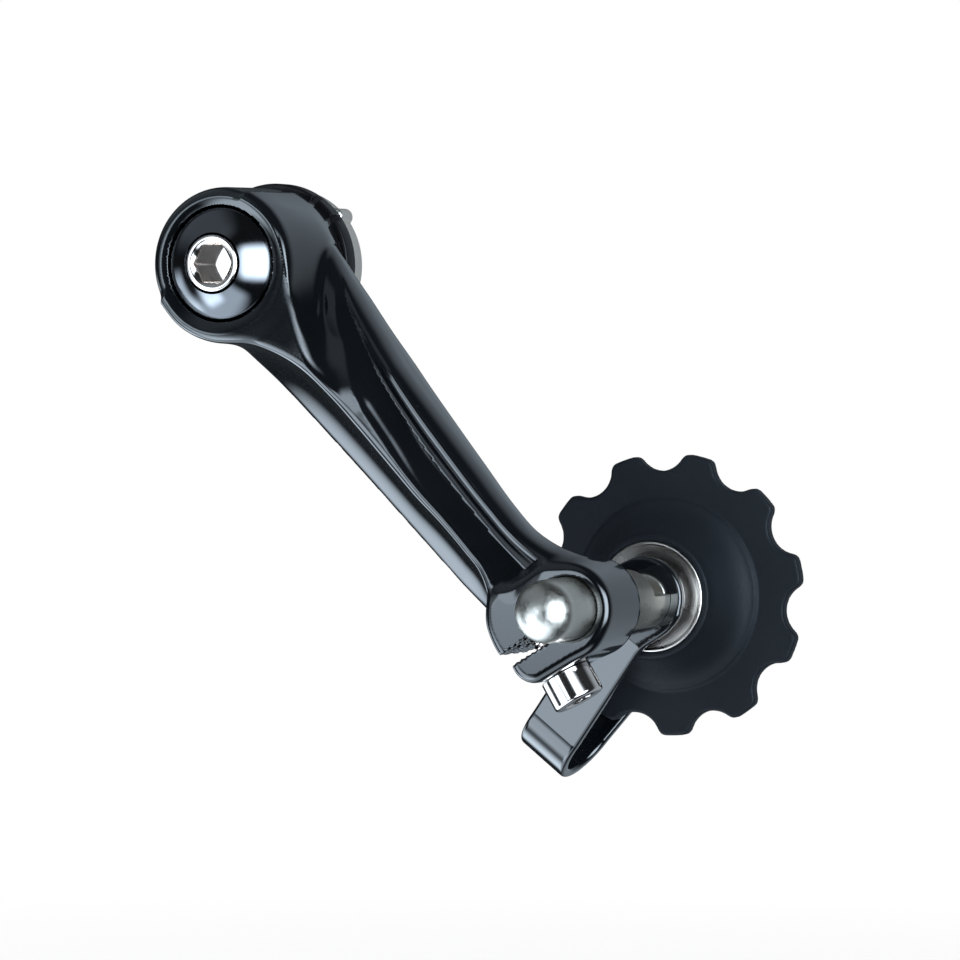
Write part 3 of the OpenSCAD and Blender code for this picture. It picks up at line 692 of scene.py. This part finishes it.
# Pulley and what is on its hub

def pulley_field(x, y, z):
    """The pulley: a toothed disc, a web that rises to the hub, and seats for the caps and bearings."""
    rho = np.hypot(x, z)
    side = np.abs(y)
    angle = np.arctan2(z, x) - PULLEY_TURN
    step = 2 * math.pi / TEETH
    notch_off = (angle % step) - step / 2
    notch_x = rho * np.cos(notch_off) - (TIP_R - TOOTH_H + NOTCH_R)
    notch_z = rho * np.sin(notch_off)
    notch = NOTCH_R - np.hypot(notch_x, notch_z)
    rim = round_max(rho - TIP_R, notch, 1.1)
    disc = round_max(rim, side - TOOTH_T / 2, 0.5)
    k = np.clip((rho - HUB_R) / (WEB_R - HUB_R), 0, 1)
    cone_top = HUB_HALF - 0.6 + (TOOTH_T / 2 + 0.5 - HUB_HALF + 0.6) * np.sin(math.pi / 2 * k)
    cone = round_max((side - cone_top) * 0.6, rho - WEB_R, 0.5)
    hub = round_max(rho - HUB_R, side - HUB_HALF, 0.6)
    body = round_min(round_min(disc, cone, 0.5), hub, 0.8)
    seat = np.maximum(rho - DUST_R, HUB_HALF - SEAT_DEPTH - side)
    bore = np.where(side > RIB_HALF, rho - BEARING_R, rho - BEARING_R + RIB_H)
    return round_max(body, -np.minimum(seat, bore), 0.25)


def make_pulley():
    cell = 0.36
    reach = TIP_R + 0.8
    half = HUB_HALF + 0.8
    piece, _ = field_mesh("pulley_moulded", pulley_field, (-reach, -half, -reach), (reach, half, reach), cell,
                          place=(WHEEL_X, CHAIN_LINE, WHEEL_Z))
    return piece


def make_dust_cap(name, side):
    """A thin pressed cap with a rolled rim, on the front (-1) or the rear (1) of the hub."""
    rows = [(DUST_R - 0.04, HUB_HALF - 0.6, 0.05), (DUST_R - 0.04, HUB_HALF + 0.1, 0.2),
            (DUST_R - 0.35, HUB_HALF + 0.12, 0.12), (DUST_R - 0.75, HUB_HALF - 0.1, 0.3),
            (DUST_HOLE_R + 0.15, HUB_HALF - 0.25, 0.1), (DUST_HOLE_R, HUB_HALF - 0.35, 0),
            (DUST_HOLE_R, HUB_HALF - 0.55, 0), (DUST_R - 1.6, HUB_HALF - 0.6, 0)]
    path = filleted([(r, h * side, f) for r, h, f in rows])
    return lathe(name, path, (WHEEL_X, CHAIN_LINE, WHEEL_Z), segments=160, closed=True)


# Materials

class Recipe:
    """A node material with the shader's constant values set on its sockets."""

    def __init__(self, name, **values):
        self.material = bpy.data.materials.new(name)
        self.material.use_nodes = True
        self.nodes = self.material.node_tree.nodes
        self.links = self.material.node_tree.links
        self.shader = self.nodes["Principled BSDF"]
        for key, value in values.items():
            self.shader.inputs[key.replace("_", " ")].default_value = value
        self.place = self.nodes.new("ShaderNodeTexCoord").outputs["Object"]

    def noise(self, scale, detail=3.0):
        node = self.nodes.new("ShaderNodeTexNoise")
        node.inputs["Scale"].default_value = scale
        node.inputs["Detail"].default_value = detail
        self.links.new(self.place, node.inputs["Vector"])
        return node.outputs["Fac"]

    def spread(self, source, low_value, high_value, a=0.3, b=0.7):
        node = self.nodes.new("ShaderNodeMapRange")
        for key, value in (("From Min", a), ("From Max", b), ("To Min", low_value), ("To Max", high_value)):
            node.inputs[key].default_value = value
        self.links.new(source, node.inputs["Value"])
        return node.outputs["Result"]

    def tint(self, source, dark, light):
        node = self.nodes.new("ShaderNodeValToRGB")
        node.color_ramp.elements[0].position = 0.3
        node.color_ramp.elements[1].position = 0.7
        node.color_ramp.elements[0].color = (*dark, 1)
        node.color_ramp.elements[1].color = (*light, 1)
        self.links.new(source, node.inputs["Fac"])
        return node.outputs["Color"]

    def math(self, operation, a, b):
        node = self.nodes.new("ShaderNodeMath")
        node.operation = operation
        for socket, value in zip(node.inputs, (a, b)):
            if isinstance(value, (int, float)):
                socket.default_value = value
            else:
                self.links.new(value, socket)
        return node.outputs["Value"]

    def set(self, key, source):
        self.links.new(source, self.shader.inputs[key])

    def bump(self, source, strength, distance):
        node = self.nodes.new("ShaderNodeBump")
        node.inputs["Distance"].default_value = distance * MM
        if isinstance(strength, (int, float)):
            node.inputs["Strength"].default_value = strength
        else:
            self.links.new(strength, node.inputs["Strength"])
        self.links.new(source, node.inputs["Height"])
        self.links.new(node.outputs["Normal"], self.shader.inputs["Normal"])


def black_enamel(name="black_enamel", grained=True):
    """Gloss black, which turns matt and pebbled where the mesh's grain layer says so."""
    m = Recipe(name, Roughness=0.1, Coat_Weight=1.0, Coat_Roughness=0.03, Coat_IOR=1.5, IOR=1.45)
    m.set("Base Color", m.tint(m.noise(60), (0.002, 0.003, 0.004), (0.004, 0.0055, 0.008)))
    if grained:
        grain = m.nodes.new("ShaderNodeAttribute")
        grain.attribute_name = "grain"
        fine = m.noise(2600, 2.0)
        m.set("Roughness", m.math("ADD", m.math("MULTIPLY", grain.outputs["Fac"], 0.35), 0.1))
        m.set("Coat Weight", m.math("SUBTRACT", 1.0, m.math("MULTIPLY", grain.outputs["Fac"], 0.97)))
        m.set("Specular IOR Level", m.math("SUBTRACT", 0.5, m.math("MULTIPLY", grain.outputs["Fac"], 0.42)))
        m.bump(fine, m.math("MULTIPLY", grain.outputs["Fac"], 0.9), 0.12)
    else:
        m.bump(m.noise(420, 2.0), 0.05, 0.02)
    return m.material


def metal(name, dark, light, roughness, grain=600, bump=0.04):
    m = Recipe(name, Metallic=1.0)
    fine = m.noise(grain)
    m.set("Base Color", m.tint(m.noise(90, 2.0), dark, light))
    m.set("Roughness", m.spread(fine, roughness * 0.8, roughness * 1.25))
    m.bump(fine, bump, 0.02)
    return m.material


def plastic(name, dark, light, roughness, grain=900, bump=0.25, **values):
    m = Recipe(name, **values)
    fine = m.noise(grain, 4.0)
    m.set("Base Color", m.tint(m.noise(40), dark, light))
    m.set("Roughness", m.spread(fine, roughness * 0.9, roughness * 1.15))
    m.bump(fine, bump, 0.05)
    return m.material


def make_materials():
    return {
        "black_enamel": black_enamel(),
        "black_guard": black_enamel("black_guard", grained=False),
        "black_chrome": metal("black_chrome", (0.165, 0.17, 0.18), (0.185, 0.19, 0.2), 0.1, bump=0.01),
        "bronze": metal("bronze", (0.5, 0.34, 0.15), (0.6, 0.42, 0.2), 0.4),
        "nylon": plastic("nylon", (0.7, 0.7, 0.66), (0.78, 0.78, 0.75), 0.5),
        "bright_steel": metal("bright_steel", (0.80, 0.73, 0.68), (0.86, 0.79, 0.74), 0.09, bump=0.01),
        "steel": metal("steel", (0.5, 0.51, 0.52), (0.6, 0.61, 0.62), 0.28),
        "spring_steel": metal("spring_steel", (0.3, 0.31, 0.33), (0.38, 0.39, 0.41), 0.3),
        "satin_steel": metal("satin_steel", (0.66, 0.64, 0.58), (0.72, 0.70, 0.64), 0.34,
                             grain=1500, bump=0.03),
        "satin_alloy": metal("satin_alloy", (0.78, 0.73, 0.66), (0.84, 0.79, 0.72), 0.42,
                             grain=1800, bump=0.08),
        "black_plastic": plastic("black_plastic", (0.003, 0.003, 0.004), (0.005, 0.005, 0.006), 0.3,
                                 bump=0.05, Specular_IOR_Level=0.15),
        "seal_rubber": plastic("seal_rubber", (0.012, 0.012, 0.012), (0.02, 0.02, 0.02), 0.6),
        "pulley_plastic": plastic("pulley_plastic", (0.005, 0.007, 0.010), (0.008, 0.011, 0.015), 0.5,
                                  grain=1800, bump=0.35, Specular_IOR_Level=0.15),
        "dust_cap_steel": metal("dust_cap_steel", (0.84, 0.77, 0.71), (0.86, 0.79, 0.73), 0.26,
                                grain=90, bump=0.0),
    }


# Studio: floor, world, lamps and camera

VIEW_AZ = math.radians(23.65)
VIEW_EL = math.radians(1.79)
VIEW_DISTANCE = 0.75
VIEW_TARGET = Vector((0.0256, 0.0193, -0.0361))
LENS = 165.8

# What gloss mirrors: azimuth from the front towards +X, elevation, half sizes, strength, softness of the edge
SOFTBOXES = (
    (46, 2, 0.46, 0.44, 9.0, 0.2),
    (-42, -32, 0.27, 0.40, 4.6, 0.14),
    (-50, -62, 1.0, 0.40, 2.2, 0.25),
    (-60, 45, 0.9, 0.5, 0.25, 0.3),
    (-100, -26, 0.27, 0.34, 2.5, 0.14),
    (-38, -3, 0.16, 0.20, 1.0, 0.1),
    (-21, 3, 0.12, 0.14, 4.0, 0.06))
GLOSS_TINT = (0.74, 0.87, 1.0)
PLAIN_LIGHT = 0.7


def outward(azimuth, elevation):
    """The direction from the object to an azimuth, from the front towards +X, and an elevation."""
    level = math.cos(elevation)
    return Vector((math.sin(azimuth) * level, -math.cos(azimuth) * level, math.sin(elevation)))


def make_camera():
    away = outward(VIEW_AZ, VIEW_EL)
    data = bpy.data.cameras.new("camera")
    data.sensor_width = 36
    data.sensor_fit = "HORIZONTAL"
    data.lens = LENS
    data.clip_start = 0.01
    camera = bpy.data.objects.new("camera", data)
    camera.location = VIEW_TARGET + away * VIEW_DISTANCE
    camera.rotation_euler = (-away).to_track_quat("-Z", "Y").to_euler()
    bpy.context.scene.collection.objects.link(camera)
    bpy.context.scene.camera = camera


def make_lamp(name, azimuth, elevation, distance, size, watts):
    """A soft area lamp aimed at the object, which gloss doesn't mirror."""
    away = outward(math.radians(azimuth), math.radians(elevation))
    data = bpy.data.lights.new(name, "AREA")
    data.shape = "RECTANGLE"
    data.size, data.size_y = size
    data.energy = watts
    lamp = bpy.data.objects.new(name, data)
    lamp.location = VIEW_TARGET + away * distance
    lamp.rotation_euler = (-away).to_track_quat("-Z", "Y").to_euler()
    lamp.visible_glossy = False
    bpy.context.scene.collection.objects.link(lamp)


def make_floor():
    """A pale round floor, which fades to white and is clear from below."""
    radius = 0.7
    drop = -0.165
    segments = 96
    ring = [(0.03 + radius * math.cos(a), radius * math.sin(a), drop)
            for a in np.linspace(0, 2 * math.pi, segments, endpoint=False)]
    mesh = bpy.data.meshes.new("floor")
    mesh.from_pydata(ring, [], [list(range(segments))])
    floor = bpy.data.objects.new("floor", mesh)
    floor.visible_glossy = False
    bpy.context.scene.collection.objects.link(floor)
    m = Recipe("floor_paper", Roughness=0.9)
    m.shader.inputs["Base Color"].default_value = (0.88, 0.88, 0.88, 1)
    m.bump(m.noise(300), 0.02, 0.05)
    glow = m.nodes.new("ShaderNodeEmission")
    far = m.nodes.new("ShaderNodeVectorMath")
    far.operation = "LENGTH"
    m.links.new(m.place, far.inputs[0])
    fade = m.spread(far.outputs["Value"], 0, 1, 0.2, 0.5)
    mix = m.nodes.new("ShaderNodeMixShader")
    m.links.new(fade, mix.inputs["Fac"])
    m.links.new(m.shader.outputs["BSDF"], mix.inputs[1])
    m.links.new(glow.outputs["Emission"], mix.inputs[2])
    clear = m.nodes.new("ShaderNodeBsdfTransparent")
    side = m.nodes.new("ShaderNodeNewGeometry").outputs["Backfacing"]
    cut = m.nodes.new("ShaderNodeMixShader")
    m.links.new(side, cut.inputs["Fac"])
    m.links.new(mix.outputs["Shader"], cut.inputs[1])
    m.links.new(clear.outputs["BSDF"], cut.inputs[2])
    m.links.new(cut.outputs["Shader"], m.nodes["Material Output"].inputs["Surface"])
    mesh.materials.append(m.material)


def make_world():
    """White to the camera, soft boxes on a dark studio for gloss, and plain grey light for the rest."""
    world = bpy.data.worlds.new("studio")
    bpy.context.scene.world = world
    world.use_nodes = True
    nodes, links = world.node_tree.nodes, world.node_tree.links
    back = nodes["Background"]
    out = nodes["World Output"]
    direction = nodes.new("ShaderNodeTexCoord").outputs["Generated"]
    split = nodes.new("ShaderNodeSeparateXYZ")
    links.new(direction, split.inputs["Vector"])

    def calc(operation, *values):
        node = nodes.new("ShaderNodeMath")
        node.operation = operation
        for socket, value in zip(node.inputs, values):
            if isinstance(value, (int, float)):
                socket.default_value = value
            else:
                links.new(value, socket)
        return node.outputs["Value"]

    def step(value, a, b):
        node = nodes.new("ShaderNodeMapRange")
        node.interpolation_type = "SMOOTHSTEP"
        node.inputs["From Min"].default_value = a
        node.inputs["From Max"].default_value = b
        links.new(value, node.inputs["Value"])
        return node.outputs["Result"]

    x, y, z = split.outputs

    def softbox(azimuth, elevation, half_w, half_h, strength, soft):
        """A bright rectangle on the sky, in the direction that is given."""
        a, e = math.radians(azimuth), math.radians(elevation)
        way = outward(a, e)
        side = (math.cos(a), math.sin(a), 0)
        up = (-math.sin(a) * math.sin(e), math.cos(a) * math.sin(e), math.cos(e))

        def dot(v):
            return calc("ADD", calc("ADD", calc("MULTIPLY", x, v[0]), calc("MULTIPLY", y, v[1])),
                        calc("MULTIPLY", z, v[2]))

        ahead = calc("MAXIMUM", dot(way), 0.02)
        across = calc("ABSOLUTE", calc("DIVIDE", dot(side), ahead))
        upward = calc("ABSOLUTE", calc("DIVIDE", dot(up), ahead))
        inside = calc("MULTIPLY", calc("SUBTRACT", 1.0, step(across, half_w - soft, half_w + soft)),
                      calc("SUBTRACT", 1.0, step(upward, half_h - soft, half_h + soft)))
        return calc("MULTIPLY", calc("MULTIPLY", inside, step(dot(way), 0.03, 0.06)), strength)

    gloss = calc("ADD", calc("MULTIPLY", calc("MULTIPLY", step(y, 0.2, 0.7), step(x, -0.5, 0.1)), 0.42), 0.03)
    for box in SOFTBOXES:
        gloss = calc("ADD", gloss, softbox(*box))
    path = nodes.new("ShaderNodeLightPath")
    seen = calc("MAXIMUM", path.outputs["Is Camera Ray"], path.outputs["Is Transmission Ray"])
    plain = calc("ADD", calc("MULTIPLY", seen, 1 - PLAIN_LIGHT), PLAIN_LIGHT)
    back.inputs["Color"].default_value = (1, 1, 1, 1)
    links.new(plain, back.inputs["Strength"])
    mirrored = nodes.new("ShaderNodeBackground")
    mirrored.inputs["Color"].default_value = (*GLOSS_TINT, 1)
    links.new(gloss, mirrored.inputs["Strength"])
    mix = nodes.new("ShaderNodeMixShader")
    links.new(calc("MULTIPLY", path.outputs["Is Glossy Ray"], calc("SUBTRACT", 1.0, seen)), mix.inputs["Fac"])
    links.new(back.outputs["Background"], mix.inputs[1])
    links.new(mirrored.outputs["Background"], mix.inputs[2])
    links.new(mix.outputs["Shader"], out.inputs["Surface"])


def make_studio():
    make_camera()
    make_floor()
    make_world()
    make_lamp("key_lamp", -35, 48, 0.9, (0.5, 0.5), 6)
    make_lamp("side_lamp", 70, 15, 0.9, (0.35, 0.6), 4)
    bpy.context.scene.view_settings.view_transform = "Standard"


def put(piece, body, slot, *nodes):
    """Gives a new piece its body and its slot's material, and hides the CAD nodes that it stands for."""
    piece.data.materials.clear()
    piece.data.materials.append(MATERIALS[slot])
    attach(piece, body)
    if nodes:
        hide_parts(*nodes)


def dress_cad():
    """Every CAD node that stays gets its procedural material."""
    slots = {row["node"]: row["material_slot"] for row in frame["record"]["subparts"]}
    for node, piece in frame["nodes"].items():
        piece.data.materials.clear()
        piece.data.materials.append(MATERIALS[slots[node]])


MATERIALS = make_materials()
dress_cad()
put(make_arm(), "arm", "black_enamel", "arm")
put(weighted(make_pivot_cap()), "arm", "black_chrome", "pivot_cap")
put(weighted(make_hanger_bolt()), "hanger", "bright_steel", "hanger_bolt")
put(weighted(make_stop_washer()), "hanger", "satin_alloy", "stop_washer")
put(weighted(make_spring_ring()), "hanger", "black_plastic", "spring_ring")
put(weighted(make_clamp_bolt()), "arm", "bright_steel", "clamp_bolt")
put(make_shaft(), "shaft", "satin_steel", "pulley_shaft")
put(make_guard(), "guard", "black_guard", "chain_guard")
put(make_pulley(), "wheel", "pulley_plastic", "pulley")
put(weighted(make_dust_cap("front_dust_cap_pressed", -1)), "wheel", "dust_cap_steel", "front_dust_cap")
put(weighted(make_dust_cap("rear_dust_cap_pressed", 1)), "wheel", "dust_cap_steel", "rear_dust_cap")
make_studio()
